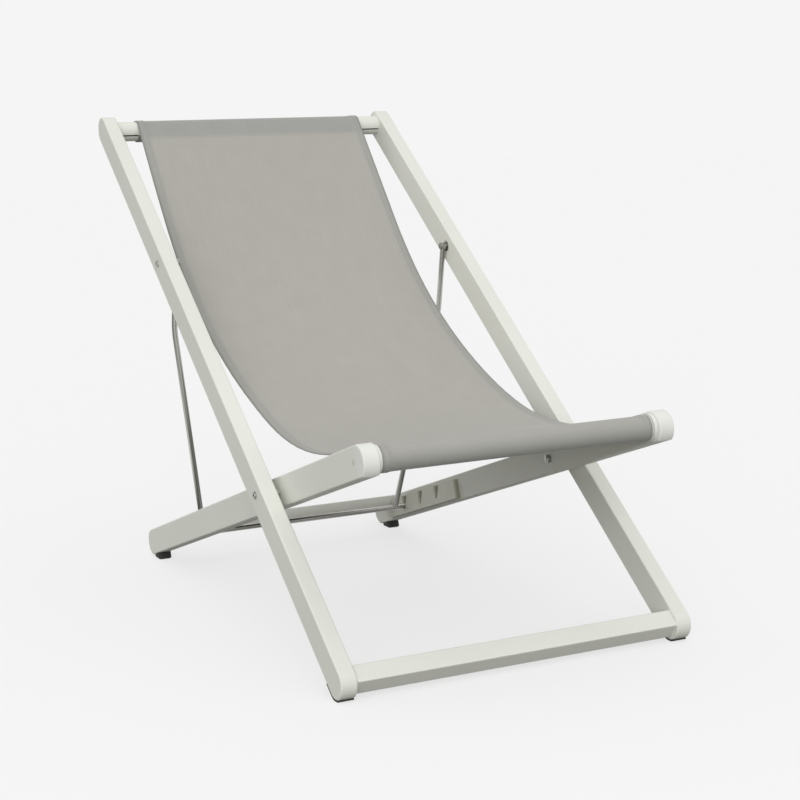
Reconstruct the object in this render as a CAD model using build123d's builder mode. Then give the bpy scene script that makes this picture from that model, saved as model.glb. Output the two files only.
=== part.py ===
from build123d import *
import math
import os

# Folding deck chair with a mesh sling. A long back frame and a shorter seat frame cross at the
# main pivots. A bent prop hangs from the back rails, and its bar drops into the seat rails' racks.
# X runs across the chair, Y from front to rear, Z up from the floor.

# Rails, in millimetres
overall_width = 590.0
rail_depth = 48.0
rail_width = 26.0
rail_wall = 2.0
rail_corner = 2.5
rail_gap = 13.4
spigot_length = 18.0
spigot_clearance = 0.1

# Distances along the rails from the main pivot to the centres of the rounded ends
back_lower = 362.2
back_upper = 934.0
seat_front = 314.0
seat_rear = 724.0

# Ends of the seat rails in front, flatter than a half-round and a little low
front_cap_radius = 27.0
front_cap_drop = 2.0

# Bars of the back frame
bottom_bar_length = 30.5
bottom_bar_depth = 30.0
bottom_bar_recess = 5.5
bottom_bar_drop = 0.8
bar_corner = 2.0
top_bar_radius = 18.0
top_bar_inset = 6.0
tube_wall = 2.0
keder_bore_radius = 3.4
keder_wall = 2.0
keder_slot = 2.6
keder_angle = 168.0

# Bars of the seat frame
front_tube_radius = 17.6
collar_rim = 3.8
collar_length = 5.4
collar_clearance = 0.05
rear_bar_size = 25.0
rear_bar_offset = 58.0
rear_bar_bottom = -1.5

# Racks on the seat rails' inner faces
rack_thickness = 11.5
rack_lead = 78.0
rack_tail = 7.0
rack_top = 15.0
rack_bottom = 20.0
rack_corner = 9.0
first_notch = 576.0
notch_pitch = 74.0
notch_count = 3
notch_depth = 5.6
notch_clearance = 0.3
notch_front_flare = 30.0
notch_rear_flare = 6.0
rack_bar_clearance = 0.3

# Prop
prop_pivot = 549.0
prop_length = 525.9
rod_radius = 5.0
prop_straight = 124.0
prop_bar_gap = 2.6
prop_leg_inset = 29.0
prop_bend_radius = 200.0
eye_radius = 6.5
eye_thickness = 10.6
weld_gap = 0.1

# Pivot bolts, spacers and nuts
bolt_radius = 4.0
bolt_head_radius = 6.0
bolt_head_height = 2.6
bolt_head_round = 1.4
socket_size = 4.6
socket_depth = 1.6
spacer_radius = 6.0
washer_radius = 10.0
nut_flat = 13.0
nut_height = 6.5
nut_chamfer = 0.8
bolt_overhang = 1.5
press_nut_radius = 5.6
press_nut_height = 1.4
press_nut_round = 1.0
running_clearance = 0.05
side_clearance = 0.3
tube_screw_radius = 2.5
tube_screw_head = 4.5
countersink = 45.0
tube_screw_length = 34.0
tube_screw_inset = 8.0
tube_plug = 9.0

# Feet
sole_thickness = 2.6
sole_start = 343.0
sole_past_floor = 8.0
sole_inset = 0.8
foot_setback = 32.5
foot_length = 30.0
foot_depth = 14.6
foot_inset = 0.4
foot_corner = 6.0
foot_sole_corner = 3.0
foot_stem_radius = 4.0
foot_stem_reach = 6.0
foot_flat = 0.4
hole_clearance = 0.1

# Sling
sling_side_gap = 6.4
sling_thickness = 1.2
sling_clearance = 0.3
front_wrap_angle = 335.0
seat_curve_radius = 1045.0
seat_curve_angle = 10.0
middle_curve_radius = 545.0
middle_curve_angle = 23.0
back_curve_share = 0.9135
bead_radius = 2.6

overrun = 5.0

# Rail places across the chair
back_rail_x = (overall_width - rail_width) / 2
seat_rail_x = back_rail_x - rail_width - rail_gap
back_outer = overall_width / 2
back_inner = back_outer - rail_width
seat_outer = seat_rail_x + rail_width / 2
seat_inner = seat_rail_x - rail_width / 2
eye_x = (back_inner + seat_outer) / 2
sling_width = 2 * (seat_inner - sling_side_gap)
prop_bar_half = seat_inner - prop_bar_gap
prop_foot_x = prop_bar_half - prop_leg_inset
half_depth = rail_depth / 2
sides = (("left", -1), ("right", 1))

# Places along the seat rails
rear_bar_front = first_notch + rear_bar_offset
rack_front = first_notch - (notch_count - 1) * notch_pitch - rack_lead
rack_rear = rear_bar_front + rear_bar_size + rack_tail
foot_front = seat_rear - foot_setback
foot_rear = foot_front + foot_length
foot_stem_place = (foot_front + foot_rear) / 2

# The prop triangle sets the angle between the frames
notch_reach = math.hypot(first_notch, notch_depth)
notch_below = math.atan2(notch_depth, first_notch)
triangle_cosine = (prop_pivot**2 + notch_reach**2 - prop_length**2) / (2 * prop_pivot * notch_reach)
frame_angle = math.acos(triangle_cosine) - notch_below

# Both feet on the floor set the tilt of the frames
sole_radius = half_depth + sole_thickness - foot_flat
foot_reach = half_depth + foot_depth
floor_cosine = back_lower + foot_front * math.cos(frame_angle) - foot_reach * math.sin(frame_angle)
floor_sine = foot_front * math.sin(frame_angle) + foot_reach * math.cos(frame_angle)
foot_span = math.hypot(floor_cosine, floor_sine)
back_angle = math.atan2(floor_sine, floor_cosine) - math.asin(sole_radius / foot_span)
seat_angle = frame_angle - back_angle
pivot_height = back_lower * math.sin(back_angle) + sole_radius
rear_end = back_upper * math.cos(back_angle) + half_depth
front_end = seat_front * math.cos(seat_angle) + front_cap_drop * math.sin(seat_angle) + front_cap_radius
pivot_y = (front_end - rear_end) / 2

# Side planes: along each frame, seen from +X
pivot_point = Vector(0, pivot_y, pivot_height)
back_up = Vector(0, math.cos(back_angle), math.sin(back_angle))
seat_back = Vector(0, math.cos(seat_angle), -math.sin(seat_angle))
back_side = Plane(origin=pivot_point, x_dir=back_up, z_dir=(1, 0, 0))
seat_side = Plane(origin=pivot_point, x_dir=seat_back, z_dir=(1, 0, 0))
prop_point = back_side.from_local_coords(Vector(prop_pivot, 0, 0))
rod_point = seat_side.from_local_coords(Vector(first_notch, -notch_depth, 0))
prop_down = (rod_point - prop_point).normalized()
top_bar_place = back_upper - top_bar_inset


def place(side_plane, along, across, x):
    """A plane square to X at a point of a side plane."""
    origin = side_plane.from_local_coords(Vector(along, across, x))
    return Plane(origin=origin, x_dir=side_plane.x_dir, z_dir=(1, 0, 0))


def section_at(side_plane, along, x, outward):
    """A plane square to a rail, facing along it, with its own x across the chair."""
    origin = side_plane.from_local_coords(Vector(along, 0, x))
    return Plane(origin=origin, x_dir=(1, 0, 0), z_dir=side_plane.x_dir * outward)


def save(piece, label):
    piece.part.label = label
    export_step(piece.part, f"parts/{label}.step")


def rail(side_plane, low, high, x, holes):
    """A hollow rail with cross holes, each given by its place and radius."""
    with BuildPart() as piece:
        with BuildSketch(section_at(side_plane, low, x, 1)):
            RectangleRounded(rail_width, rail_depth, rail_corner)
            inner_corner = rail_corner - rail_wall
            RectangleRounded(
                rail_width - 2 * rail_wall, rail_depth - 2 * rail_wall, inner_corner, mode=Mode.SUBTRACT
            )
        extrude(amount=high - low)
        for along, radius in holes:
            with BuildSketch(place(side_plane, along, 0, x)):
                Circle(radius)
            extrude(amount=rail_width / 2 + overrun, both=True, mode=Mode.SUBTRACT)
    return piece


def spigot(section):
    """The plug behind a rail's end, a loose fit in the rail."""
    with BuildPart() as piece:
        with BuildSketch(section):
            inner_width = rail_width - 2 * rail_wall - 2 * spigot_clearance
            inner_depth = rail_depth - 2 * rail_wall - 2 * spigot_clearance
            RectangleRounded(inner_width, inner_depth, rail_corner - rail_wall)
        extrude(amount=-spigot_length)
    return piece


def rail_cap(side_plane, along, x, outward):
    """A half-round end of the rail's own section, on its spigot."""
    section = section_at(side_plane, along, x, outward)
    plug = spigot(section)
    with BuildPart() as piece:
        with BuildSketch(section):
            RectangleRounded(rail_width, rail_depth, rail_corner)
            Rectangle(rail_width, half_depth, align=(Align.CENTER, Align.MIN), mode=Mode.INTERSECT)
        revolve(axis=Axis(section.origin, section.x_dir), revolution_arc=180)
        add(plug.part)
    return piece


def pivot_bolt(side_plane, along, sign, inner_end):
    """A button-head bolt from the back rail's outer face to its nut."""
    face = place(side_plane, along, 0, sign * back_outer)
    with BuildPart() as piece:
        with BuildSketch(face):
            Circle(bolt_head_radius)
        extrude(amount=sign * bolt_head_height)
        fillet(piece.edges().sort_by(Axis.X)[-1 if sign > 0 else 0], bolt_head_round)
        with BuildSketch(face.offset(sign * bolt_head_height)):
            RegularPolygon(socket_size / 2, 6, major_radius=False)
        extrude(amount=-sign * socket_depth, mode=Mode.SUBTRACT)
        with BuildSketch(face):
            Circle(bolt_radius)
        extrude(amount=-sign * (back_outer - inner_end))
    return piece


def spacer(side_plane, along, sign, radius, start, end):
    with BuildPart() as piece:
        with BuildSketch(place(side_plane, along, 0, sign * start)):
            Circle(radius)
            Circle(bolt_radius + running_clearance, mode=Mode.SUBTRACT)
        extrude(amount=sign * (end - start))
    return piece


def press_nut(side_plane, along, sign, outer_x):
    """A low round nut pressed on flush with the bolt's end."""
    face = place(side_plane, along, 0, sign * outer_x)
    with BuildPart() as piece:
        with BuildSketch(face):
            Circle(press_nut_radius)
        extrude(amount=-sign * press_nut_height)
        fillet(piece.edges().sort_by(Axis.X)[0 if sign > 0 else -1], press_nut_round)
        with BuildSketch(face):
            Circle(bolt_radius + running_clearance)
        extrude(amount=-sign * press_nut_height, mode=Mode.SUBTRACT)
    return piece


def pivot_nut(side_plane, along, sign, outer_x):
    with BuildPart() as piece:
        with BuildSketch(place(side_plane, along, 0, sign * outer_x)):
            RegularPolygon(nut_flat / 2, 6, major_radius=False)
        extrude(amount=-sign * nut_height)
        rim = piece.faces().sort_by(Axis.X)[0 if sign > 0 else -1]
        chamfer(rim.edges(), nut_chamfer)
        with BuildSketch(place(side_plane, along, 0, sign * outer_x)):
            Circle(bolt_radius + running_clearance)
        extrude(amount=-sign * nut_height, mode=Mode.SUBTRACT)
    return piece


os.makedirs("parts", exist_ok=True)

# Back frame: rails, rounded ends and the rubber soles
shaft_hole = bolt_radius + running_clearance
for side, sign in sides:
    x = sign * back_rail_x
    holes = ((0, shaft_hole), (prop_pivot, shaft_hole))
    back_rail = rail(back_side, -back_lower, back_upper, x, holes)
    save(back_rail, f"back_rail_{side}")
    upper_cap = rail_cap(back_side, back_upper, x, 1)
    save(upper_cap, f"back_upper_cap_{side}")
    lower_cap = rail_cap(back_side, -back_lower, x, -1)
    save(lower_cap, f"back_lower_cap_{side}")

    # The sole follows the rail's rear face and the rounded end to just past the floor
    floor_turn = 90 - math.degrees(back_angle) + sole_past_floor
    with BuildPart() as front_sole:
        with BuildSketch(place(back_side, 0, 0, x)):
            with BuildLine():
                inner_run = Line((-sole_start, -half_depth), (-back_lower, -half_depth))
                inner_arc = JernArc(inner_run @ 1, inner_run % 1, half_depth, -floor_turn)
                outer_run = Line(
                    (-sole_start, -half_depth - sole_thickness), (-back_lower, -half_depth - sole_thickness)
                )
                outer_arc = JernArc(outer_run @ 1, outer_run % 1, half_depth + sole_thickness, -floor_turn)
                Line(inner_run @ 0, outer_run @ 0)
                Line(inner_arc @ 1, outer_arc @ 1)
            make_face()
        extrude(amount=rail_width / 2 - sole_inset, both=True)
        split(bisect_by=Plane.XY, keep=Keep.TOP)
    save(front_sole, f"front_sole_{side}")

# Back frame: crossbars
bottom_bar_front = half_depth - bottom_bar_recess
bottom_bar_centre = bottom_bar_front - bottom_bar_depth / 2
with BuildPart() as bottom_crossbar:
    with BuildSketch(place(back_side, -back_lower - bottom_bar_drop, bottom_bar_centre, 0)):
        RectangleRounded(bottom_bar_length, bottom_bar_depth, bar_corner)
        offset(amount=-tube_wall, mode=Mode.SUBTRACT)
    extrude(amount=back_inner, both=True)
save(bottom_crossbar, "back_bottom_crossbar")

# The top bar has a channel along its underside that holds the sling's beaded edge
keder_place = top_bar_radius - keder_wall - keder_bore_radius
with BuildPart() as top_bar:
    with BuildSketch(place(back_side, top_bar_place, 0, 0)):
        Circle(top_bar_radius)
        Circle(top_bar_radius - tube_wall, mode=Mode.SUBTRACT)
        with PolarLocations(keder_place, 1, start_angle=keder_angle):
            Circle(keder_bore_radius + keder_wall)
            Circle(keder_bore_radius, mode=Mode.SUBTRACT)
            Rectangle(top_bar_radius, keder_slot, align=(Align.MIN, Align.CENTER), mode=Mode.SUBTRACT)
    extrude(amount=back_inner, both=True)
save(top_bar, "back_top_bar")

# Seat frame: rails, rounded ends, rear feet
for side, sign in sides:
    x = sign * seat_rail_x
    screw_hole = tube_screw_radius + hole_clearance
    seat_holes = ((0, shaft_hole), (-seat_front + tube_screw_inset, screw_hole))
    with BuildPart() as seat_rail:
        add(rail(seat_side, -seat_front, seat_rear, x, seat_holes).part)
        with BuildSketch(place(seat_side, -seat_front + tube_screw_inset, 0, sign * seat_outer)):
            Circle(tube_screw_head)
        extrude(amount=-sign * rail_wall, taper=countersink, mode=Mode.SUBTRACT)
        stem_root = seat_side.from_local_coords(Vector(foot_stem_place, -half_depth, x))
        with BuildSketch(Plane(origin=stem_root, x_dir=seat_back, z_dir=seat_side.y_dir)):
            Circle(foot_stem_radius + hole_clearance)
        extrude(amount=half_depth, mode=Mode.SUBTRACT)
    save(seat_rail, f"seat_rail_{side}")
    front_plug = spigot(section_at(seat_side, -seat_front, x, -1))
    with BuildPart() as front_cap:
        with BuildSketch(place(seat_side, -seat_front, -front_cap_drop, x)):
            Circle(front_cap_radius)
            with Locations((0, front_cap_drop)):
                Rectangle(rail_depth, rail_depth, align=(Align.MAX, Align.CENTER), mode=Mode.INTERSECT)
        extrude(amount=rail_width / 2, both=True)
        side_edges = front_cap.faces().filter_by(Axis.X).edges()
        fillet(side_edges.filter_by(Axis(seat_side.origin, seat_side.y_dir), reverse=True), rail_corner)
        add(front_plug.part)
        with BuildSketch(place(seat_side, -seat_front + tube_screw_inset, 0, x)):
            Circle(screw_hole)
        extrude(amount=rail_width / 2, both=True, mode=Mode.SUBTRACT)
    save(front_cap, f"seat_front_cap_{side}")
    with BuildPart() as rear_cap:
        add(rail_cap(seat_side, seat_rear, x, 1).part)
        with BuildSketch(Plane(origin=stem_root, x_dir=seat_back, z_dir=seat_side.y_dir)):
            Circle(foot_stem_radius + hole_clearance)
        extrude(amount=half_depth, mode=Mode.SUBTRACT)
    save(rear_cap, f"seat_rear_cap_{side}")

    # The rear foot is a wedge whose sole lies flat on the floor, on a stem that also pins the end
    foot_half = rail_width / 2 - foot_inset
    with BuildPart() as rear_foot:
        with BuildSketch(place(seat_side, 0, 0, x)):
            with BuildLine():
                Polyline(
                    (foot_front, -half_depth),
                    (foot_rear, -half_depth),
                    (foot_rear, -foot_reach),
                    (foot_front, -foot_reach),
                    close=True,
                )
            make_face()
        extrude(amount=foot_half, both=True)
        fillet(rear_foot.edges().filter_by(Axis(seat_side.origin, seat_side.y_dir)), foot_corner)
        split(bisect_by=Plane.XY, keep=Keep.TOP)
        fillet(rear_foot.faces().sort_by(Axis.Z)[0].edges(), foot_sole_corner)
        with BuildSketch(Plane(origin=stem_root, x_dir=seat_back, z_dir=seat_side.y_dir)):
            Circle(foot_stem_radius)
        extrude(amount=foot_stem_reach)
    save(rear_foot, f"rear_foot_{side}")

# Seat frame: front tube with its collars and screws
with BuildPart() as front_tube:
    with BuildSketch(place(seat_side, -seat_front, 0, 0)):
        Circle(front_tube_radius)
    extrude(amount=seat_inner, both=True)
    with BuildSketch(place(seat_side, -seat_front, 0, 0)):
        Circle(front_tube_radius - tube_wall)
    extrude(amount=seat_inner - tube_plug, both=True, mode=Mode.SUBTRACT)
    with BuildSketch(place(seat_side, -seat_front + tube_screw_inset, 0, 0)):
        Circle(tube_screw_radius + hole_clearance)
    extrude(amount=seat_inner, both=True, mode=Mode.SUBTRACT)
save(front_tube, "seat_front_tube")

for side, sign in sides:
    with BuildPart() as collar:
        with BuildSketch(place(seat_side, -seat_front, 0, sign * seat_inner)):
            Circle(front_tube_radius + collar_rim)
            Circle(front_tube_radius + collar_clearance, mode=Mode.SUBTRACT)
        extrude(amount=-sign * collar_length)
    save(collar, f"front_tube_collar_{side}")

    screw_face = place(seat_side, -seat_front + tube_screw_inset, 0, sign * seat_outer)
    with BuildPart() as tube_screw:
        with BuildSketch(screw_face):
            Circle(tube_screw_head - hole_clearance)
        extrude(amount=-sign * rail_wall, taper=countersink)
        with BuildSketch(screw_face):
            Circle(tube_screw_radius)
        extrude(amount=-sign * tube_screw_length)
    save(tube_screw, f"front_tube_screw_{side}")

# Seat frame: square rear crossbar
rear_bar_centre = rear_bar_front + rear_bar_size / 2
with BuildPart() as rear_crossbar:
    with BuildSketch(place(seat_side, rear_bar_centre, rear_bar_bottom + rear_bar_size / 2, 0)):
        RectangleRounded(rear_bar_size, rear_bar_size, bar_corner)
        offset(amount=-tube_wall, mode=Mode.SUBTRACT)
    extrude(amount=seat_inner, both=True)
save(rear_crossbar, "seat_rear_crossbar")

# Racks: three round-bottomed notches that flare open, and a seat for the rear crossbar
notch_radius = rod_radius + notch_clearance
front_flare = math.radians(notch_front_flare)
rear_flare = math.radians(notch_rear_flare)
mouth = rack_top + overrun


def notch_outline(along):
    """Front and rear walls leave the round bottom at a tangent and run out past the top."""
    front_x = along - notch_radius * math.cos(front_flare)
    front_y = -notch_depth - notch_radius * math.sin(front_flare)
    rear_x = along + notch_radius * math.cos(rear_flare)
    rear_y = -notch_depth - notch_radius * math.sin(rear_flare)
    front_mouth = (front_x - (mouth - front_y) * math.tan(front_flare), mouth)
    rear_mouth = (rear_x + (mouth - rear_y) * math.tan(rear_flare), mouth)
    return (front_x, front_y), (rear_x, rear_y), rear_mouth, front_mouth


for side, sign in sides:
    with BuildPart() as rack:
        with BuildSketch(place(seat_side, 0, 0, sign * seat_inner)) as rack_outline:
            with BuildLine():
                Polyline(
                    (rack_front, -rack_bottom),
                    (rack_rear, -rack_bottom),
                    (rack_rear, rack_top),
                    (rack_front, rack_top),
                    close=True,
                )
            make_face()
            fillet(rack_outline.vertices().group_by(Axis.X)[-1].sort_by(Axis.Y)[0], rack_corner)
            for index in range(notch_count):
                along = first_notch - index * notch_pitch
                with Locations((along, -notch_depth)):
                    Circle(notch_radius, mode=Mode.SUBTRACT)
                with BuildLine():
                    Polyline(*notch_outline(along), close=True)
                make_face(mode=Mode.SUBTRACT)
            with BuildLine():
                Polyline(
                    (rear_bar_front - rack_bar_clearance, rear_bar_bottom - rack_bar_clearance),
                    (rack_rear + overrun, rear_bar_bottom - rack_bar_clearance),
                    (rack_rear + overrun, mouth),
                    (rear_bar_front - rack_bar_clearance, mouth),
                    close=True,
                )
            make_face(mode=Mode.SUBTRACT)
        extrude(amount=-sign * rack_thickness)
    save(rack, f"rack_{side}")

# Prop: two bent legs and the bar that they carry
prop_side = Plane(origin=prop_point, x_dir=prop_down, z_dir=(1, 0, 0))
for side, sign in sides:
    leg_plane = Plane(origin=prop_point, x_dir=prop_down, z_dir=prop_side.y_dir * -sign)
    with BuildPart() as prop_leg:
        with BuildLine(leg_plane):
            leg_path = FilletPolyline(
                (0, eye_x), (prop_straight, eye_x), (prop_length, prop_foot_x), radius=prop_bend_radius
            )
        with BuildSketch(Plane(origin=leg_path @ 0, z_dir=leg_path % 0)):
            Circle(rod_radius)
        sweep(path=leg_path)
        with BuildSketch(place(prop_side, 0, 0, sign * eye_x)):
            Circle(eye_radius)
        extrude(amount=eye_thickness / 2, both=True)
        with BuildSketch(place(prop_side, 0, 0, sign * eye_x)):
            Circle(bolt_radius + running_clearance)
        extrude(amount=eye_thickness / 2 + overrun, both=True, mode=Mode.SUBTRACT)
        with BuildSketch(place(prop_side, prop_length, 0, 0)):
            Circle(rod_radius + weld_gap)
        extrude(amount=sign * seat_inner, mode=Mode.SUBTRACT)
    save(prop_leg, f"prop_leg_{side}")

with BuildPart() as prop_bar:
    with BuildSketch(place(prop_side, prop_length, 0, 0)):
        Circle(rod_radius)
    extrude(amount=prop_bar_half, both=True)
save(prop_bar, "prop_bar")

# Pivots: bolts, spacers in the gap and nuts
eye_outer = eye_x + eye_thickness / 2 + side_clearance
eye_inner = eye_x - eye_thickness / 2 - side_clearance
main_nut_x = seat_inner - side_clearance
for side, sign in sides:
    main_bolt = pivot_bolt(back_side, 0, sign, main_nut_x - nut_height - bolt_overhang)
    save(main_bolt, f"main_pivot_bolt_{side}")
    main_spacer = spacer(back_side, 0, sign, spacer_radius, seat_outer + side_clearance, back_inner)
    save(main_spacer, f"main_pivot_spacer_{side}")
    main_nut = pivot_nut(back_side, 0, sign, main_nut_x)
    save(main_nut, f"main_pivot_nut_{side}")
    prop_bolt = pivot_bolt(back_side, prop_pivot, sign, eye_inner - press_nut_height)
    save(prop_bolt, f"prop_pivot_bolt_{side}")
    prop_spacer = spacer(back_side, prop_pivot, sign, washer_radius, eye_outer, back_inner)
    save(prop_spacer, f"prop_pivot_spacer_{side}")
    prop_nut = press_nut(back_side, prop_pivot, sign, eye_inner)
    save(prop_nut, f"prop_pivot_nut_{side}")

# Sling: seen from the side it wraps the front tube, sags in three curves, rises straight to the
# top bar, passes over it and ends in a bead inside the bar's channel
wrap_radius = front_tube_radius + sling_clearance + sling_thickness / 2
sleeve_radius = top_bar_radius + sling_clearance + sling_thickness / 2


def polar(radius, degrees):
    return Vector(radius * math.cos(math.radians(degrees)), radius * math.sin(math.radians(degrees)))


curve_heading = seat_curve_angle + middle_curve_angle
roll_top = Vector(-seat_front, wrap_radius)
seat_centre = roll_top + Vector(0, seat_curve_radius)
seat_end = seat_centre - Vector(0, seat_curve_radius).rotate(Axis.Z, seat_curve_angle)
middle_centre = seat_end + Vector(0, middle_curve_radius).rotate(Axis.Z, seat_curve_angle)
middle_end = middle_centre - Vector(0, middle_curve_radius).rotate(Axis.Z, curve_heading)
bar_centre = polar(top_bar_place, math.degrees(frame_angle))
reach = bar_centre - middle_end
reach_up = reach.dot(Vector(0, 1).rotate(Axis.Z, curve_heading))
largest_curve = (reach.length**2 - sleeve_radius**2) / (2 * (reach_up + sleeve_radius))
back_curve_radius = back_curve_share * largest_curve
back_centre = middle_end + Vector(0, back_curve_radius).rotate(Axis.Z, curve_heading)
span = bar_centre - back_centre
rise = math.degrees(math.atan2(span.Y, span.X) + math.asin((back_curve_radius + sleeve_radius) / span.length))
slot_heading = math.degrees(frame_angle) + keder_angle
sleeve_turn = rise + 90 - slot_heading + 360


def sling_line(shift):
    """The sling's line, shifted to its upper side, from the wrap's end to the channel's mouth."""
    wrap = wrap_radius + shift
    start = Vector(-seat_front, 0) + polar(wrap, 90 + front_wrap_angle)
    under = JernArc(start, polar(1, front_wrap_angle), wrap, -front_wrap_angle / 2)
    over = JernArc(under @ 1, under % 1, wrap, -front_wrap_angle / 2)
    seat = JernArc(over @ 1, over % 1, seat_curve_radius - shift, seat_curve_angle)
    middle = JernArc(seat @ 1, seat % 1, middle_curve_radius - shift, middle_curve_angle)
    back = JernArc(middle @ 1, middle % 1, back_curve_radius - shift, rise - curve_heading)
    sleeve_start = bar_centre + polar(sleeve_radius + shift, rise + 90)
    Line(back @ 1, sleeve_start)
    crown = JernArc(sleeve_start, polar(1, rise), sleeve_radius + shift, -sleeve_turn / 2)
    behind = JernArc(crown @ 1, crown % 1, sleeve_radius + shift, -sleeve_turn / 2)
    return start, behind @ 1


half_thickness = sling_thickness / 2
bead_centre = bar_centre + polar(keder_place, slot_heading)
with BuildPart() as sling:
    with BuildSketch(place(seat_side, 0, 0, 0)):
        with BuildLine():
            upper_ends = sling_line(half_thickness)
            lower_ends = sling_line(-half_thickness)
            Line(upper_ends[0], lower_ends[0])
            Line(upper_ends[1], lower_ends[1])
        make_face()
        with Locations(bead_centre):
            Circle(bead_radius)
        with Locations(Location(bead_centre, (0, 0, slot_heading))):
            Rectangle(
                sleeve_radius + half_thickness - keder_place, sling_thickness, align=(Align.MIN, Align.CENTER)
            )
    extrude(amount=sling_width / 2, both=True)
save(sling, "sling")

prop_lean = math.degrees(math.acos(prop_down.dot(back_up * -1)))
print("angle between frames", round(math.degrees(frame_angle), 3))
print("back rails over the floor", round(math.degrees(back_angle), 3))
print("seat rails over the floor", round(math.degrees(seat_angle), 3))
print("prop from the back rails", round(prop_lean, 3))
print("main pivot", [round(value, 3) for value in pivot_point])
print("prop pivot", [round(value, 3) for value in prop_point])
print("prop bar", [round(value, 3) for value in rod_point])
print("back curve", round(back_curve_radius, 1), "of at most", round(largest_curve, 1), "rise", round(rise, 2))
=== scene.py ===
import bpy
import math
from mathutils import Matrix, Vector


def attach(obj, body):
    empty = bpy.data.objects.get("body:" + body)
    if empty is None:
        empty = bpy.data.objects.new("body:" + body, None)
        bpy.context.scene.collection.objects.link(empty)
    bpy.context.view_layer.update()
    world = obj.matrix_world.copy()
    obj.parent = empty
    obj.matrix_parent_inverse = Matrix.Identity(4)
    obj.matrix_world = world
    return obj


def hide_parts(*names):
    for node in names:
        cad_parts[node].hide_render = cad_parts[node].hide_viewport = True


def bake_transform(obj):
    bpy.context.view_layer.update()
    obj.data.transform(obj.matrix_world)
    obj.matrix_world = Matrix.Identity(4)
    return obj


# Folding deck chair: powder-coated frame, bent steel prop and a woven mesh sling
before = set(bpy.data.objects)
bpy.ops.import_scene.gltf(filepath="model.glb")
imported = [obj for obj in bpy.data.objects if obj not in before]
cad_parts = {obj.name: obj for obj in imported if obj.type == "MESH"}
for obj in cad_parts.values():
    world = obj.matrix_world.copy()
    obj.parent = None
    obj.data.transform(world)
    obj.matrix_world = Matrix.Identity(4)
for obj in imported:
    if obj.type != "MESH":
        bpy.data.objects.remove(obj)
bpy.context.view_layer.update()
bpy.ops.object.select_all(action="DESELECT")
mm = 0.001
print("frame loaded,", len(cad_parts), "parts")


def linearColour(code):
    # sRGB hex to the linear values that the shaders take
    parts = [int(code[i:i + 2], 16) / 255 for i in (1, 3, 5)]
    return [c / 12.92 if c <= 0.04045 else ((c + 0.055) / 1.055) ** 2.4 for c in parts] + [1]


def addNode(tree, kind, settings=None, links=None):
    # one node with its properties or socket values, and what feeds its sockets
    node = tree.nodes.new(kind)
    for key, value in (settings or {}).items():
        if isinstance(key, str) and hasattr(node, key):
            setattr(node, key, value)
        else:
            node.inputs[key].default_value = value
    for key, socket in (links or {}).items():
        tree.links.new(socket, node.inputs[key])
    return node


def newMaterial(name):
    material = bpy.data.materials.new(name)
    material.use_nodes = True
    material.node_tree.nodes.clear()
    return material, material.node_tree


def seenDirectly(tree):
    # 1 where the camera looks, also in a reflection or through glass, and 0 for light that falls on things
    path = addNode(tree, "ShaderNodeLightPath")
    seen = path.outputs["Is Camera Ray"]
    for ray in ("Is Glossy Ray", "Is Transmission Ray"):
        seen = addNode(tree, "ShaderNodeMath", {"operation": "MAXIMUM"}, {0: seen, 1: path.outputs[ray]}).outputs[0]
    return seen


def twoTones(tree, settings, share):
    # from the dark to the light colour of a finish
    return addNode(tree, "ShaderNodeMix", {
        "data_type": "RGBA", 6: linearColour(settings["dark"]), 7: linearColour(settings["light"])}, {0: share})


# the camera stands where the photograph was taken from
cameraSettings = {
    "place": (-1.18563, -2.63382, 0.78199),
    "right": (0.90146, -0.43177, -0.03060),
    "down": (-0.09295, -0.12406, -0.98791),
    "lens": 76.4,
    "sensor": 36,
    "farthest": 60,
}


def addCamera(settings):
    bpy.ops.object.camera_add(location=settings["place"])
    camera = bpy.context.object
    right, down = Vector(settings["right"]).normalized(), Vector(settings["down"]).normalized()
    backward = right.cross(-down).normalized()
    up = backward.cross(right)
    camera.matrix_world.col[0] = (*right, 0)
    camera.matrix_world.col[1] = (*up, 0)
    camera.matrix_world.col[2] = (*backward, 0)
    camera.data.sensor_width = settings["sensor"]
    camera.data.lens = settings["lens"]
    camera.data.clip_end = settings["farthest"]
    bpy.context.scene.camera = camera


addCamera(cameraSettings)
bpy.context.scene.view_settings.view_transform = "Standard"

studioSettings = {
    "paper": "#F5F5F5",
    "paperBounce": "#6A6964",
    "paperGlow": 0.72,
    "glowStrength": 1.02,
    "skyStrength": 0.885,
    "floorSize": 400.0,
    # a large soft window in front, low and to the left
    "keyFrom": (-0.50, -0.77, 0.39),
    "keyDistance": 4,
    "keyStrength": 1.0,
    "keySpread": 42,
    # a weak panel low in front, for the lower ends
    "panelPlace": (-0.9, -3.4, 0.9),
    "panelAim": (0.1, -0.45, 0.0),
    "panelSize": 1.6,
    "panelWatts": 13.0,
}


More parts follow.
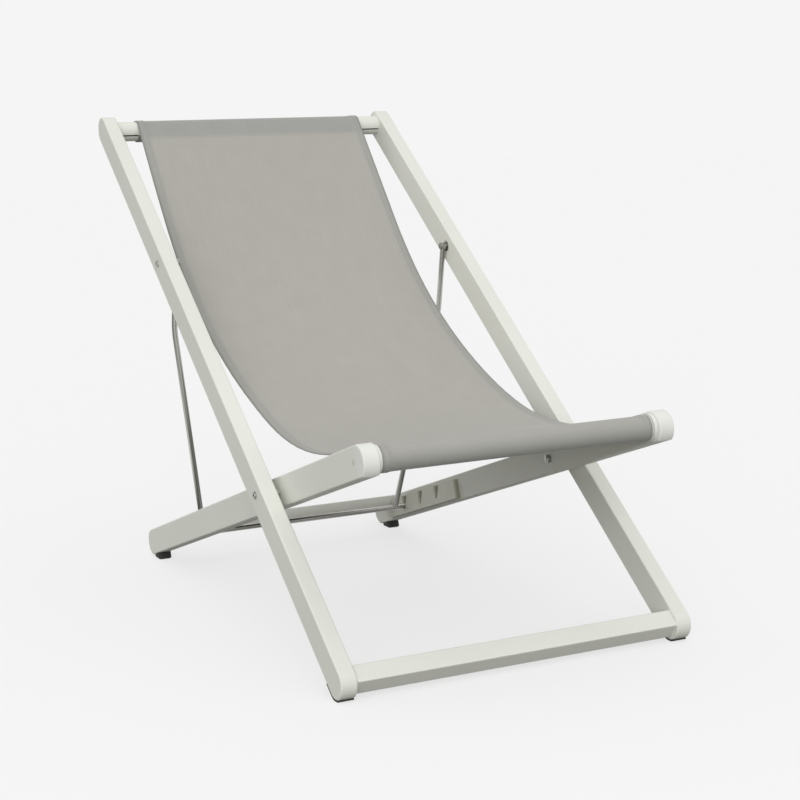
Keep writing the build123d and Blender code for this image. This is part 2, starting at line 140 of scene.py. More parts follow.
def addFloor(settings):
    # matt paper that takes the chair's shadow, with a glow of its own to the eye alone
    bpy.ops.mesh.primitive_plane_add(size=settings["floorSize"], location=(0, 0, 0))
    floor = bpy.context.object
    floor.name = "floor"
    material, tree = newMaterial("seamlessPaper")
    seen = seenDirectly(tree)
    paper, bounce = linearColour(settings["paper"]), linearColour(settings["paperBounce"])
    tone = addNode(tree, "ShaderNodeMix", {"data_type": "RGBA", 6: bounce, 7: paper}, {0: seen})
    matt = addNode(tree, "ShaderNodeBsdfDiffuse", links={"Color": tone.outputs[2]})
    glow = addNode(tree, "ShaderNodeEmission", {"Color": paper, "Strength": settings["glowStrength"]})
    share = addNode(tree, "ShaderNodeMath", {"operation": "MULTIPLY", 1: settings["paperGlow"]}, {0: seen})
    mixed = addNode(tree, "ShaderNodeMixShader", links={0: share.outputs[0], 1: matt.outputs[0], 2: glow.outputs[0]})
    addNode(tree, "ShaderNodeOutputMaterial", links={"Surface": mixed.outputs[0]})
    floor.data.materials.append(material)


def addSky(settings):
    world = bpy.data.worlds.new("studioWorld")
    bpy.context.scene.world = world
    world.use_nodes = True
    tree = world.node_tree
    tree.nodes.clear()
    strength = addNode(tree, "ShaderNodeMix", {"data_type": "FLOAT", 2: settings["skyStrength"], 3: 1.0},
                       {0: seenDirectly(tree)})
    sky = addNode(tree, "ShaderNodeBackground", {"Color": linearColour(settings["paper"])},
                  {"Strength": strength.outputs[0]})
    addNode(tree, "ShaderNodeOutputWorld", links={"Surface": sky.outputs[0]})


def addLamps(settings):
    keyFrom = Vector(settings["keyFrom"])
    bpy.ops.object.light_add(type="SUN", location=keyFrom * settings["keyDistance"])
    key = bpy.context.object
    key.name = "keyLight"
    key.data.energy = settings["keyStrength"]
    key.data.angle = math.radians(settings["keySpread"])
    bpy.ops.object.light_add(type="AREA", location=settings["panelPlace"])
    panel = bpy.context.object
    panel.name = "frontPanel"
    panel.data.size = settings["panelSize"]
    panel.data.energy = settings["panelWatts"]
    aim = Vector(settings["panelAim"]) - Vector(settings["panelPlace"])
    for lamp, way in ((key, -keyFrom), (panel, aim)):
        lamp.rotation_mode = "QUATERNION"
        lamp.rotation_quaternion = way.to_track_quat("-Z", "Y")


addFloor(studioSettings)
addSky(studioSettings)
addLamps(studioSettings)
print("camera and studio set")

# what all satin skins share, with sizes in millimetres
skinShared = {"ior": 1.5, "smoother": 0.05, "rougher": 0.06, "peelStrength": 0.35, "peelDepth": 0.03}


def satinSkin(name, given):
    # powder coat or moulded nylon: an even satin skin with a faint orange peel
    settings = {**skinShared, **given}
    material, tree = newMaterial(name)
    place = addNode(tree, "ShaderNodeTexCoord")
    cloud = addNode(tree, "ShaderNodeTexNoise", {"Scale": 1 / (settings["toneSize"] * mm), "Detail": 2.0},
                    {"Vector": place.outputs["Object"]})
    tone = twoTones(tree, settings, cloud.outputs["Fac"])
    if "face" in settings:
        # painted shade: walls that lie behind the outer face are coloured darker, most of all deep in the notches,
        # where shade falls
        axes = addNode(tree, "ShaderNodeSeparateXYZ", links={0: place.outputs["Object"]})
        side = addNode(tree, "ShaderNodeMath", {"operation": "ABSOLUTE"}, {0: axes.outputs["X"]})
        depth = addNode(tree, "ShaderNodeMapRange", {
            1: settings["face"] * mm, 2: (settings["face"] + settings["depth"]) * mm}, {0: side.outputs[0]})
        tone = addNode(tree, "ShaderNodeMix", {"data_type": "RGBA", "blend_type": "MULTIPLY",
                                               7: linearColour(settings["recessShade"])},
                       {0: depth.outputs[0], 6: tone.outputs[2]})
    if "axis" in settings:
        # painted shade: the channel's inside is coloured dark, where shade falls
        section = addNode(tree, "ShaderNodeVectorMath", {"operation": "MULTIPLY", 1: (0, 1, 1)},
                          {0: place.outputs["Object"]})
        reach = addNode(tree, "ShaderNodeVectorMath", {"operation": "DISTANCE", 1: settings["axis"]},
                        {0: section.outputs[0]})
        inside = addNode(tree, "ShaderNodeMapRange", {
            1: settings["skin"] * mm, 2: settings["bore"] * mm}, {0: reach.outputs["Value"]})
        tone = addNode(tree, "ShaderNodeMix", {"data_type": "RGBA", 7: linearColour(settings["channelShade"])},
                       {0: inside.outputs[0], 6: tone.outputs[2]})
    peel = addNode(tree, "ShaderNodeTexNoise", {"Scale": 1 / (settings["peelSize"] * mm), "Detail": 3.0},
                   {"Vector": place.outputs["Object"]})
    rough = addNode(tree, "ShaderNodeMapRange", {
        3: settings["rough"] - settings["smoother"], 4: settings["rough"] + settings["rougher"]},
        {0: peel.outputs["Fac"]})
    bump = addNode(tree, "ShaderNodeBump", {
        "Strength": settings["peelStrength"], "Distance": settings["peelDepth"] * mm},
        {"Height": peel.outputs["Fac"]})
    skin = addNode(tree, "ShaderNodeBsdfPrincipled", {
        "IOR": settings["ior"], "Specular IOR Level": settings["gloss"]},
        {"Base Color": tone.outputs[2], "Roughness": rough.outputs[0], "Normal": bump.outputs[0]})
    addNode(tree, "ShaderNodeOutputMaterial", links={"Surface": skin.outputs[0]})
    return material


# what all steel shares: streakAndReflectionEdges is the share of the noise that turns a streak from dark to light
steelShared = {"smoother": 0.06, "rougher": 0.08, "grainStrength": 0.2, "grainDepth": 0.01, "streakAndReflectionEdges": (0.38, 0.62),
               "lean": 0.0, "top": (0.0, 0.0, 0.0), "bendAt": 0.0, "bend": 0.0}


def stainless(name, given):
    # cold-drawn or turned stainless: bright, with fine dark and light streaks in its colour that break the reflection
    # up: partly drawing lines and lathe rings, partly painted reflection
    settings = {**steelShared, **given}
    material, tree = newMaterial(name)
    place = addNode(tree, "ShaderNodeTexCoord")
    # turned so that Z runs down the leg, then shifted back across where the leg bends inwards
    leaned = addNode(tree, "ShaderNodeVectorRotate", {
        "rotation_type": "X_AXIS", "Angle": math.radians(-settings["lean"]), "Center": settings["top"]},
        {"Vector": place.outputs["Object"]})
    axes = addNode(tree, "ShaderNodeSeparateXYZ", links={0: leaned.outputs[0]})
    side = addNode(tree, "ShaderNodeMath", {"operation": "ABSOLUTE"}, {0: axes.outputs["X"]})
    bendHeight = settings["top"][2] - settings["bendAt"]
    below = addNode(tree, "ShaderNodeMapRange", {
        1: bendHeight, 2: bendHeight - 1.0, 3: 0.0, 4: math.tan(math.radians(settings["bend"]))},
        {0: axes.outputs["Z"]})
    across = addNode(tree, "ShaderNodeMath", {"operation": "ADD"}, {0: side.outputs[0], 1: below.outputs[0]})
    along = addNode(tree, "ShaderNodeCombineXYZ",
                    links={0: across.outputs[0], 1: axes.outputs["Y"], 2: axes.outputs["Z"]})
    stretched = addNode(tree, "ShaderNodeMapping", {"Scale": settings["stretch"]}, {"Vector": along.outputs[0]})
    grain = addNode(tree, "ShaderNodeTexNoise", {"Scale": 1 / (settings["grain"] * mm), "Detail": 4.0},
                    {"Vector": stretched.outputs[0]})
    # painted reflection and drawing lines: dark and light bands in the colour, along the steel
    lines = addNode(tree, "ShaderNodeTexNoise", {"Scale": 1 / (settings["line"] * mm), "Detail": 1.0},
                    {"Vector": stretched.outputs[0]})
    sharp = addNode(tree, "ShaderNodeMapRange", {1: settings["streakAndReflectionEdges"][0], 2: settings["streakAndReflectionEdges"][1]},
                    {0: lines.outputs["Fac"]})
    tone = twoTones(tree, settings, sharp.outputs[0])
    rough = addNode(tree, "ShaderNodeMapRange", {
        3: settings["rough"] - settings["smoother"], 4: settings["rough"] + settings["rougher"]},
        {0: grain.outputs["Fac"]})
    bump = addNode(tree, "ShaderNodeBump", {
        "Strength": settings["grainStrength"], "Distance": settings["grainDepth"] * mm},
        {"Height": grain.outputs["Fac"]})
    metal = addNode(tree, "ShaderNodeBsdfPrincipled", {"Metallic": 1.0},
                    {"Base Color": tone.outputs[2], "Roughness": rough.outputs[0], "Normal": bump.outputs[0]})
    addNode(tree, "ShaderNodeOutputMaterial", links={"Surface": metal.outputs[0]})
    return material


def mouldedRubber(name, settings):
    # black rubber, compression moulded: dull, slightly pitted, greyed where it has met the floor
    material, tree = newMaterial(name)
    place = addNode(tree, "ShaderNodeTexCoord")
    pits = addNode(tree, "ShaderNodeTexNoise", {"Scale": 1 / (settings["grain"] * mm), "Detail": 5.0},
                   {"Vector": place.outputs["Object"]})
    height = addNode(tree, "ShaderNodeSeparateXYZ", links={0: place.outputs["Object"]})
    low = addNode(tree, "ShaderNodeMapRange", {
        1: 0.0, 2: settings["scuffHeight"] * mm, 3: settings["scuff"], 4: 0.0}, {0: height.outputs["Z"]})
    scuff = addNode(tree, "ShaderNodeMath", {"operation": "MULTIPLY"}, {0: low.outputs[0], 1: pits.outputs["Fac"]})
    tone = twoTones(tree, settings, scuff.outputs[0])
    bump = addNode(tree, "ShaderNodeBump", {
        "Strength": settings["pitStrength"], "Distance": settings["pitDepth"] * mm}, {"Height": pits.outputs["Fac"]})
    skin = addNode(tree, "ShaderNodeBsdfPrincipled", {"IOR": settings["ior"], "Roughness": settings["rough"]},
                   {"Base Color": tone.outputs[2], "Normal": bump.outputs[0]})
    addNode(tree, "ShaderNodeOutputMaterial", links={"Surface": skin.outputs[0]})
    return material


def wovenMesh(name, settings):
    # PVC-coated polyester yarn in a plain weave: a soft matt cloth with a fine checked grain.
    # The real yarns are about 1.1 mm apart, drawn at settings["yarn"] so that close views show them.
    material, tree = newMaterial(name)
    cloth = addNode(tree, "ShaderNodeUVMap", {"uv_map": "clothPlan"})
    axes = addNode(tree, "ShaderNodeSeparateXYZ", links={0: cloth.outputs[0]})
    turns = 2 * math.pi / (settings["yarn"] * mm * 2)
    waves = []
    for axis in ("X", "Y"):
        scaled = addNode(tree, "ShaderNodeMath", {"operation": "MULTIPLY", 1: turns}, {0: axes.outputs[axis]})
        waves.append(addNode(tree, "ShaderNodeMath", {"operation": "SINE"}, {0: scaled.outputs[0]}))
    check = addNode(tree, "ShaderNodeMath", {"operation": "MULTIPLY"},
                    {0: waves[0].outputs[0], 1: waves[1].outputs[0]})
    fuzz = addNode(tree, "ShaderNodeTexNoise", {"Scale": 1 / (settings["blotch"] * mm), "Detail": 3.0},
                   {"Vector": cloth.outputs[0]})
    slub = addNode(tree, "ShaderNodeMapping", {"Scale": [1 / (size * mm) for size in settings["slub"]] + [1]},
                   {"Vector": cloth.outputs[0]})
    slubs = addNode(tree, "ShaderNodeTexNoise", {"Scale": 1.0, "Detail": 2.0}, {"Vector": slub.outputs[0]})
    base = twoTones(tree, settings, fuzz.outputs["Fac"])
    threads = addNode(tree, "ShaderNodeMath", {"operation": "MULTIPLY_ADD", 1: settings["threadShade"], 2: 0.5},
                      {0: check.outputs[0]})
    streak = addNode(tree, "ShaderNodeMath", {"operation": "MULTIPLY_ADD", 1: settings["slubShade"]},
                     {0: slubs.outputs["Fac"], 2: threads.outputs[0]})
    tone = addNode(tree, "ShaderNodeMix", {"data_type": "RGBA", 6: linearColour(settings["gap"])},
                   {0: streak.outputs[0], 7: base.outputs[2]})
    # painted shade: the hems and bands, which are two layers and let less light through, are coloured darker, the
    # roll darker towards its underside, and the folded edge darkest
    for attribute, tint in (("layers", "layerShadeTint"), ("foldedEdgeShade", "foldedEdgeShadeTint")):
        where = addNode(tree, "ShaderNodeAttribute", {"attribute_name": attribute})
        tone = addNode(tree, "ShaderNodeMix", {"data_type": "RGBA", "blend_type": "MULTIPLY",
                                               7: linearColour(settings[tint])},
                       {0: where.outputs["Fac"], 6: tone.outputs[2]})
    bump = addNode(tree, "ShaderNodeBump", {
        "Strength": settings["weaveStrength"], "Distance": settings["weaveDepth"] * mm},
        {"Height": check.outputs[0]})
    skin = addNode(tree, "ShaderNodeBsdfPrincipled", {
        "IOR": settings["ior"], "Roughness": settings["rough"], "Sheen Weight": settings["sheen"],
        "Sheen Roughness": 0.5, "Specular IOR Level": settings["gloss"]},
        {"Base Color": tone.outputs[2], "Normal": bump.outputs[0]})
    addNode(tree, "ShaderNodeOutputMaterial", links={"Surface": skin.outputs[0]})
    return material


def spunThread(name, settings):
    # bonded polyester sewing thread: a twisted strand, a little glossier than the cloth
    material, tree = newMaterial(name)
    place = addNode(tree, "ShaderNodeTexCoord")
    twist = addNode(tree, "ShaderNodeTexWave", {
        "Scale": 1 / (settings["twist"] * mm), "Distortion": settings["uneven"]}, {"Vector": place.outputs["Object"]})
    tone = twoTones(tree, settings, twist.outputs["Fac"])
    skin = addNode(tree, "ShaderNodeBsdfPrincipled", {"IOR": settings["ior"], "Roughness": settings["rough"]},
                   {"Base Color": tone.outputs[2]})
    addNode(tree, "ShaderNodeOutputMaterial", links={"Surface": skin.outputs[0]})
    return material


# sprayed and baked powder: an even, faintly warm white without any brush or grain
railSettings = {"dark": "#DDDED5", "light": "#E4E5DD", "toneSize": 160, "peelSize": 1.6, "rough": 0.55, "gloss": 0.2}
railCoat = satinSkin("powderCoatedAluminium", railSettings)
# the same coat, with the bar's axis and the radii between which the painted shade of the channel's inside begins
barCoat = satinSkin("powderCoatedBar", {
    **railSettings, "axis": (0.0, 0.51733, 0.81096), "skin": 17.9, "bore": 17.3, "channelShade": "#3B3B38"})
# nylon from a polished mould: whiter and a little glossier than the rails
capNylon = satinSkin("mouldedNylonCap", {
    "dark": "#DFE0DA", "light": "#E5E6E1", "toneSize": 60, "peelSize": 0.8, "rough": 0.45, "gloss": 0.3})
# nylon from a plainer mould: creamier, with painted shade on the walls behind its face
rackNylon = satinSkin("mouldedNylonRack", {
    "dark": "#D6D6CA", "light": "#DFDFD4", "toneSize": 40, "peelSize": 0.9, "rough": 0.5, "gloss": 0.25,
    "face": 218.2, "depth": 6.0, "recessShade": "#BAB9B1"})
# painted like the rails, slightly greyer
screwPaint = satinSkin("paintedScrewHead", {
    "dark": "#C6C7BD", "light": "#D2D3C9", "toneSize": 8, "peelSize": 0.7, "rough": 0.5, "gloss": 0.3})
# the legs lean 12.2 degrees from upright and bend in by 9.2, and their drawing lines and painted reflection bands go
# with them
rodSteel = stainless("drawnStainlessLeg", {
    "dark": "#72716D", "light": "#C3C2BD", "grain": 0.5, "line": 3.2, "stretch": (1, 1, 0.01), "rough": 0.24,
    "lean": 12.2, "top": (0.0, 0.2165, 0.5804), "bendAt": 0.124, "bend": 9.2})
# the bar's drawing lines and painted reflection bands run along it
barSteel = stainless("drawnStainlessBar", {
    "dark": "#72716D", "light": "#C3C2BD", "grain": 0.5, "line": 3.2, "stretch": (0.01, 1, 1), "rough": 0.24})
# turned on a lathe: fine rings, duller than the rods, and duller still on the spacers
boltSteel = stainless("turnedStainlessFastener", {
    "dark": "#8A8985", "light": "#BAB9B4", "grain": 0.3, "line": 1.6, "stretch": (0.1, 1, 1), "rough": 0.3})
spacerSteel = stainless("turnedStainlessSpacer", {
    "dark": "#B5B4AC", "light": "#D2D1C8", "grain": 0.3, "line": 1.6, "stretch": (0.1, 1, 1), "rough": 0.5})
soleRubber = mouldedRubber("mouldedBlackRubber", {
    "dark": "#1B1B1A", "light": "#54524C", "grain": 0.7, "scuffHeight": 5, "scuff": 0.6, "pitStrength": 0.5,
    "pitDepth": 0.05, "ior": 1.5, "rough": 0.72})
# the cloth, with painted shade tints for its double layers and its folded edges
slingMesh = wovenMesh("wovenCoatedMesh", {
    "dark": "#B4B2AA", "light": "#BDBBB4", "gap": "#908E87", "layerShadeTint": "#ECEFF3", "foldedEdgeShadeTint": "#DEDEDB",
    "yarn": 1.8, "threadShade": 0.10, "blotch": 45, "slub": (2.5, 90), "slubShade": 0.22,
    "weaveStrength": 0.5, "weaveDepth": 0.12, "ior": 1.48, "rough": 0.62, "sheen": 0.1, "gloss": 0.3})
hemThread = spunThread("bondedPolyesterThread", {
    "dark": "#8F8D86", "light": "#A9A69E", "twist": 0.9, "uneven": 2.0, "ior": 1.55, "rough": 0.5})

nodeFinishes = [
    # how a node's name starts, and the finish of all such nodes: the first that fits counts
    ("back_rail", railCoat), ("back_upper_cap", railCoat), ("back_lower_cap", railCoat),
    ("back_top_bar", barCoat), ("back_bottom_crossbar", railCoat), ("seat_rail", railCoat),
    ("seat_rear_cap", railCoat), ("seat_rear_crossbar", railCoat), ("seat_front_tube", railCoat),
    ("seat_front_cap", capNylon), ("front_tube_collar", capNylon), ("rack", rackNylon),
    ("prop_leg", rodSteel), ("prop_bar", barSteel), ("main_pivot_spacer", spacerSteel), ("main_pivot", boltSteel),
    ("prop_pivot", boltSteel), ("front_tube_screw", screwPaint), ("front_sole", soleRubber),
    ("rear_foot", soleRubber),
]
for nodeName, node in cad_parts.items():
    for start, finish in nodeFinishes:
        if nodeName.startswith(start):
            node.data.materials.clear()
            node.data.materials.append(finish)
            break
print("materials made and put on the frame")

slingSettings = {
    # the line of the cloth, seen from the side, in millimetres along the seat rails and square to them
    "pivot": (-219.270, 246.509), "seatTilt": 17.656, "frameAngle": 55.119,
    "rollPlace": 314.0, "rollRadius": 18.5, "rollTurn": 335.0,
    "seatRadius": 1045.0, "seatTurn": 10.0, "middleRadius": 545.0, "middleTurn": 23.0,
    "backRadius": 928.0, "rise": 68.42,
    "barPlace": 928.0, "barRadius": 18.9, "slotTurn": 168.0, "slotCorner": 1.3, "beadPlace": 12.6, "beadRadius": 2.6,
    "beadGap": 0.5,
    # lengths between rows of the mesh, on the open cloth, round the slot's corner and in the slot
    "step": 9.0, "cornerStep": 0.6, "slotStep": 2,
    # the cloth itself, cut a little wider at the head and hanging a little to the left
    "width": 445.0, "headWiden": 1.025, "offCentre": -1.0, "headOffCentre": -2.6, "leftSwell": 4.0, "swellShare": 0.6,
    "thickness": 0.9, "hem": 15.0, "hemLift": 1.1, "hemStep": 1.2, "hemFoot": 2.8, "halfColumns": 12,
    "headBand": 36.0, "slotPress": 0.18, "slotSink": 0.35,
    # sag in the middle, and the lengths and crossings of two slow ripples
    "sag": 3.0, "endFade": 9, "ripple": 0.5, "longRipple": (61, 83), "crossRipple": (97, 47, 1.3), "crossShare": 0.7,
    "pucker": 0.5, "puckerPitch": 4.6,
    # how strongly the painted shade of a second layer shows in the hems and on the roll's top and front, where on the
    # roll the painted shade starts to deepen towards its underside and over how many degrees, and the width and fade
    # of the painted shade along the folded edge
    "hemShade": 0.7, "rollShade": 0.45, "underShadeFrom": 60, "underShadeOver": 80, "edgeShadeWide": 3.2, "edgeShadeFade": 2.6,
    # the part of the cloth that bends when the chair folds
    "bendFrom": (70, 118), "bendTo": (-288, 22),
}
marks = {}  # lengths along the cloth at which the roll ends, the bar starts and the slot starts


def turned(size, degrees):
    return Vector((size * math.cos(math.radians(degrees)), size * math.sin(math.radians(degrees))))


def worldPoint(settings, across, along, up):
    # from the seat rails' own directions to the scene
    tilt = math.radians(settings["seatTilt"])
    y = settings["pivot"][0] + along * math.cos(tilt) + up * math.sin(tilt)
    z = settings["pivot"][1] - along * math.sin(tilt) + up * math.cos(tilt)
    return Vector((across * mm, y * mm, z * mm))


def slingLine(settings):
    # points (along, up, heading, length so far) of the cloth's middle line, from the roll to the bead
    line = []
    place = Vector((-settings["rollPlace"], 0)) + turned(settings["rollRadius"], 90 + settings["rollTurn"])
    heading, length = settings["rollTurn"], 0.0

    def arc(radius, turn, step):
        nonlocal place, heading, length
        side = 1 if turn > 0 else -1
        centre = place + turned(radius * side, heading + 90)
        count = max(2, math.ceil(abs(math.radians(turn)) * radius / step))
        for i in range(count):
            line.append((place.x, place.y, heading, length))
            heading += turn / count
            length += abs(math.radians(turn)) * radius / count
            place = centre - turned(radius * side, heading + 90)

    def run(distance, step):
        nonlocal place, length
        count = max(2, math.ceil(distance / step))
        for i in range(count):
            line.append((place.x, place.y, heading, length))
            place = place + turned(distance / count, heading)
            length += distance / count

    step = settings["step"]
    arc(settings["rollRadius"], -settings["rollTurn"], step / 2)
    marks["roll"] = length
    arc(settings["seatRadius"], settings["seatTurn"], step)
    arc(settings["middleRadius"], settings["middleTurn"], step)
    arc(settings["backRadius"], settings["rise"] - settings["seatTurn"] - settings["middleTurn"], step)
    bar = turned(settings["barPlace"], settings["frameAngle"])
    meet = bar + turned(settings["barRadius"], settings["rise"] + 90)
    run((meet - place).length, step)
    marks["bar"] = length
    slot = settings["frameAngle"] + settings["slotTurn"]
    corner = settings["slotCorner"]
    lean = math.degrees(math.asin(corner / (settings["barRadius"] - corner)))
    arc(settings["barRadius"], -(settings["rise"] + 90 - slot - lean + 360), step / 2)
    marks["slot"] = length
    arc(corner, -(90 + lean), settings["cornerStep"])
    inner = (settings["barRadius"] - corner) * math.cos(math.radians(lean))
    run(inner - settings["beadPlace"] - settings["beadGap"], settings["slotStep"])
    line.append((place.x, place.y, heading, length))
    return line


def slingColumns(settings):
    # one half of the cloth's section: (across, lift as a share of the hem's, cut position, two layers)
    edge, hem = settings["width"] / 2, settings["hem"]
    half = settings["hemLift"] / 2
    columns = []
    cut = edge + hem
    for share in (0.0, 0.35, 0.7, 1.0):  # the turned-in layer, from its raw edge outwards
        across = edge - hem + share * (hem - half)
        columns.append((across, 0.0, cut - (across - (edge - hem)), 1.0))
    for turn in (45, 90, 135):  # the fold
        across = edge - half + half * math.sin(math.radians(turn))
        columns.append((across, (1 - math.cos(math.radians(turn))) / 2, edge + half - turn / 90 * half, 1.0))
    for share in (0.0, 0.3, 0.6, 0.9):  # the top layer of the hem
        across = edge - half - share * (hem - half)
        columns.append((across, 1.0, across, 1.0))
    for inset, lift, double in ((settings["hemStep"], 0.45, 0.5), (settings["hemFoot"], 0.0, 0.0)):
        columns.append((edge - hem - inset, lift, edge - hem - inset, double))  # the step down beside it
    inner = edge - hem - settings["hemFoot"]
    for i in range(1, settings["halfColumns"]):
        across = inner * (1 - i / settings["halfColumns"])
        columns.append((across, 0.0, across, 0.0))
    return columns


def reachUp(length):
    # 0 where the cloth leaves the roll and 1 where it meets the bar
    return (length - marks["roll"]) / (marks["bar"] - marks["roll"])


def clothShift(settings, across, length):
    # sag in the middle of the width, slow ripples and the pucker of the hems, all square to the cloth
    reach = reachUp(length)
    if reach <= 0 or reach >= 1:
        return 0.0
    free = min(1, reach * settings["endFade"], (1 - reach) * settings["endFade"])
    free = free * free * (3 - 2 * free)
    share = across / (settings["width"] / 2)
    sag = -settings["sag"] * (1 - share * share) * free
    wave = math.sin(length / settings["longRipple"][0] + across / settings["longRipple"][1])
    down, over, phase = settings["crossRipple"]
    wave += settings["crossShare"] * math.sin(length / down - across / over + phase)
    pucker = settings["pucker"] * math.sin(length / settings["puckerPitch"]) * max(0, abs(share) * 8 - 7)
    return sag + settings["ripple"] * (wave * free + pucker * free)


def clothPoint(settings, row, across, lift):
    along, up, heading, length = row
    # in the slot the layers are pressed together
    slotShare = min(1, max(0, (length - marks["slot"]) / 2))
    rise = lift * settings["hemLift"] * (1 - settings["slotPress"] * slotShare) - settings["slotSink"] * slotShare
    rise += clothShift(settings, across, length)
    normal = turned(rise, heading + 90)
    reach = min(1, max(0, reachUp(length)))
    across = across * (1 + (settings["headWiden"] - 1) * reach)
    across += settings["offCentre"] + (settings["headOffCentre"] - settings["offCentre"]) * reach
    if across < 0:
        swell = settings["leftSwell"] * math.sin(math.pi * min(1, (1 - reach) / settings["swellShare"]))
        across -= swell * (across / 225) ** 2  # 225 mm is about half the cloth's width
    return worldPoint(settings, across, along + normal.x, up + normal.y)


def layerAndRollShadeShare(settings, row, double):
    # how much painted shade a point takes: for a second layer in the hems, the head band and the loop round the tube,
    # and more towards the roll's underside
    heading, length = row[2], row[3]
    inBand = min(1, max(0, (length - (marks["bar"] - settings["headBand"])) / 1.5))
    # painted shade: the roll darkens towards its underside, where shade falls
    under = min(1, max(0, (heading - settings["underShadeFrom"]) / settings["underShadeOver"]))
    inRoll = settings["rollShade"] + (1 - settings["rollShade"]) * under
    inRoll *= min(1, max(0, (marks["roll"] + 4 - length) / 8))
    return max(settings["hemShade"] * double, inBand, inRoll)


def makeSling(settings):
    line = slingLine(settings)
    half = slingColumns(settings)
    centre = [(0.0, 0.0, 0.0, 0.0)]
    columns = [(-a, l, -c, d) for a, l, c, d in half] + centre + list(reversed(half))
    inside = settings["width"] / 2 - settings["edgeShadeWide"]
    points, plan, layers, foldedEdgeShade = [], [], [], []
    for row in line:
        for across, lift, cut, double in columns:
            points.append(clothPoint(settings, row, across, lift))
            plan.append((cut * mm, row[3] * mm))
            layers.append(layerAndRollShadeShare(settings, row, double))
            # painted shade along the folded edges of the hems
            foldedEdgeShade.append(max(0, min(1, (abs(across) - inside) / settings["edgeShadeFade"])))
    wide = len(columns)
    faces = [(r * wide + c, r * wide + c + 1, (r + 1) * wide + c + 1, (r + 1) * wide + c)
             for r in range(len(line) - 1) for c in range(wide - 1)]
    mesh = bpy.data.meshes.new("slingCloth")
    mesh.from_pydata([tuple(p) for p in points], [], faces)
    uv = mesh.uv_layers.new(name="clothPlan")
    for loop in mesh.loops:
        uv.data[loop.index].uv = plan[loop.vertex_index]
    for name, values in (("layers", layers), ("foldedEdgeShade", foldedEdgeShade)):
        mesh.attributes.new(name, "FLOAT", "POINT").data.foreach_set("value", values)
    sling = bpy.data.objects.new("slingCloth", mesh)
    bpy.context.scene.collection.objects.link(sling)
    mesh.materials.append(slingMesh)
    bpy.ops.object.select_all(action="DESELECT")
    sling.select_set(True)
    bpy.context.view_layer.objects.active = sling
    mesh.flip_normals()
    thick = sling.modifiers.new("clothThickness", "SOLIDIFY")
    thick.thickness = settings["thickness"] * mm
    thick.offset = 0.0
    smooth = sling.modifiers.new("clothSmooth", "SUBSURF")
    smooth.levels = smooth.render_levels = 1
    bpy.ops.object.modifier_apply(modifier=thick.name)
    bpy.ops.object.modifier_apply(modifier=smooth.name)
    bpy.ops.object.shade_smooth()
    return sling, line


stitchSettings = {
    "size": 3.1, "pitch": 4.2, "radius": 0.35,
    "fromHem": 3.0,  # how far inside the hem's inner edge the seam runs
    "startInRoll": 60, "endAtSlot": 4, "bandSeam": 2.5, "rollSeam": 14, "seamEnd": 2,
    # a strand's bow above the cloth and its taper, as shares of its radius
    "sunk": 0.9, "bowed": 1.1, "thinEnd": 0.45, "sides": 5, "rings": 4,
}


def rowAt(line, length):
    # the line's own row at a length, mixed from the two rows that lie about it
    for first, second in zip(line, line[1:]):
        if second[3] >= length:
            share = (length - first[3]) / max(1e-9, second[3] - first[3])
            return tuple(a + (b - a) * share for a, b in zip(first, second))
    return line[-1]


def stitchPlaces(settings, cloth):
    # where each stitch starts: (length, across, its way, lift of the layer under it)
    edge = cloth["width"] / 2 - cloth["hem"] + settings["fromHem"]
    places = []
    for side in (-1, 1):
        length = marks["roll"] - settings["startInRoll"]
        while length < marks["slot"] - settings["endAtSlot"]:
            places.append((length, side * edge, "along", 1.0))
            length += settings["pitch"]
    for length in (marks["bar"] - cloth["headBand"] + settings["bandSeam"], marks["roll"] + settings["rollSeam"]):
        across = -edge + settings["seamEnd"]
        while across < edge - settings["size"] - settings["seamEnd"]:
            places.append((length, across, "across", 0.0))
            across += settings["pitch"]
    return places


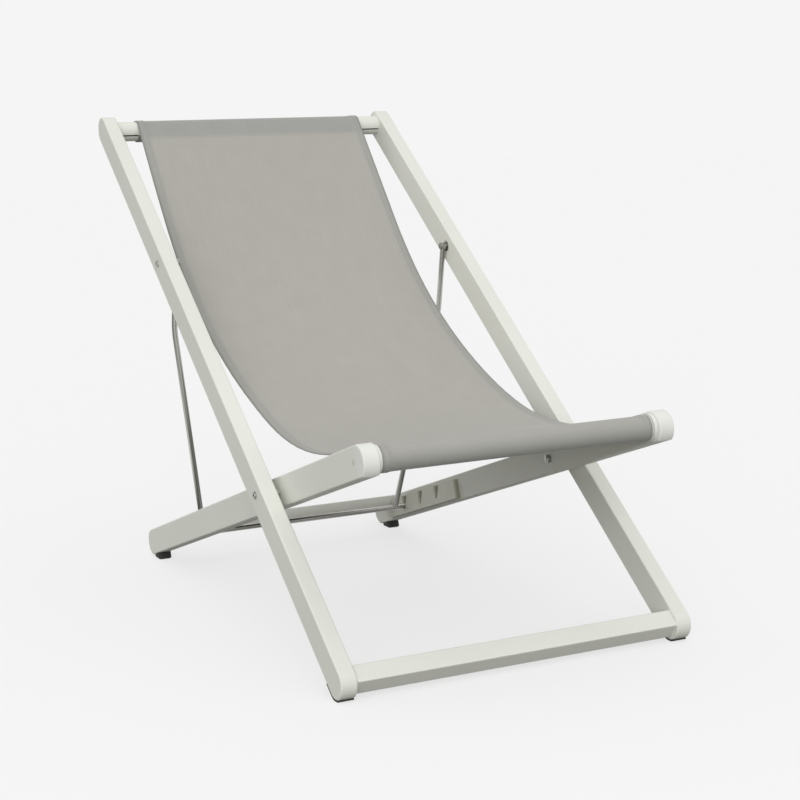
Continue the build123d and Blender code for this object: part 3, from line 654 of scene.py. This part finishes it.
def makeStitches(settings, cloth, line):
    # every stitch is a short bowed strand whose ends go into the cloth
    size, radius = settings["size"], settings["radius"]
    sides, rings = settings["sides"], settings["rings"]
    top = cloth["thickness"] / 2
    points, faces = [], []
    for length, across, way, lift in stitchPlaces(settings, cloth):
        first = len(points)
        for ring in range(rings + 1):
            share = ring / rings
            arch = math.sin(math.pi * share)
            bow = top - radius * settings["sunk"] + radius * settings["bowed"] * arch
            thin = radius * (settings["thinEnd"] + (1 - settings["thinEnd"]) * arch)
            at = length + size * share if way == "along" else length
            x = across + size * share if way == "across" else across
            row = rowAt(line, at)
            base = clothPoint(cloth, row, x, lift)
            off = clothPoint(cloth, row, x, lift + 1 / cloth["hemLift"])
            normal = (off - base).normalized()
            ahead = Vector((1, 0, 0)) if way == "across" else normal.cross(Vector((1, 0, 0)))
            sideways = normal.cross(ahead).normalized()
            middle = base + normal * bow * mm
            for k in range(sides):
                turn = 2 * math.pi * k / sides
                points.append(middle + (sideways * math.cos(turn) + normal * math.sin(turn)) * thin * mm)
        for ring in range(rings):
            for k in range(sides):
                a, b = first + ring * sides + k, first + ring * sides + (k + 1) % sides
                faces.append((a, b, b + sides, a + sides))
        faces.append(tuple(first + k for k in reversed(range(sides))))
        faces.append(tuple(first + rings * sides + k for k in range(sides)))
    mesh = bpy.data.meshes.new("slingStitches")
    mesh.from_pydata([tuple(p) for p in points], [], faces)
    stitches = bpy.data.objects.new("slingStitches", mesh)
    bpy.context.scene.collection.objects.link(stitches)
    mesh.materials.append(hemThread)
    bpy.ops.object.select_all(action="DESELECT")
    stitches.select_set(True)
    bpy.context.view_layer.objects.active = stitches
    bpy.ops.object.mode_set(mode="EDIT")
    bpy.ops.mesh.select_all(action="SELECT")
    bpy.ops.mesh.normals_make_consistent(inside=False)
    bpy.ops.object.mode_set(mode="OBJECT")
    bpy.ops.object.shade_smooth()
    return stitches


sling, slingRows = makeSling(slingSettings)
stitches = makeStitches(stitchSettings, slingSettings, slingRows)

# the beaded edge that the top bar's channel holds
beadSettings = {"length": 446.0, "clearance": 0.1, "sides": 20, "round": 0.8, "roundSteps": 3, "smoothUpTo": 40}


def makeBead(settings, cloth):
    slot = cloth["frameAngle"] + cloth["slotTurn"]
    middle = turned(cloth["barPlace"], cloth["frameAngle"]) + turned(cloth["beadPlace"], slot)
    bpy.ops.object.select_all(action="DESELECT")
    bpy.ops.mesh.primitive_cylinder_add(
        vertices=settings["sides"], radius=(cloth["beadRadius"] - settings["clearance"]) * mm,
        depth=settings["length"] * mm, location=worldPoint(cloth, 0, middle.x, middle.y),
        rotation=(0, math.pi / 2, 0))
    bead = bpy.context.object
    bead.name = "slingBead"
    bpy.ops.object.transform_apply(location=True, rotation=True, scale=True)
    bevel = bead.modifiers.new("beadRound", "BEVEL")
    bevel.width = settings["round"] * mm
    bevel.segments = settings["roundSteps"]
    bevel.limit_method = "ANGLE"
    bpy.ops.object.modifier_apply(modifier=bevel.name)
    bpy.ops.object.shade_smooth_by_angle(angle=math.radians(settings["smoothUpTo"]))
    bead.data.materials.append(hemThread)
    return bead


bead = makeBead(beadSettings, slingSettings)
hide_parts("sling")
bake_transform(sling)
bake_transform(stitches)
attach(bead, "back_frame")
print("sling made")

print("done")
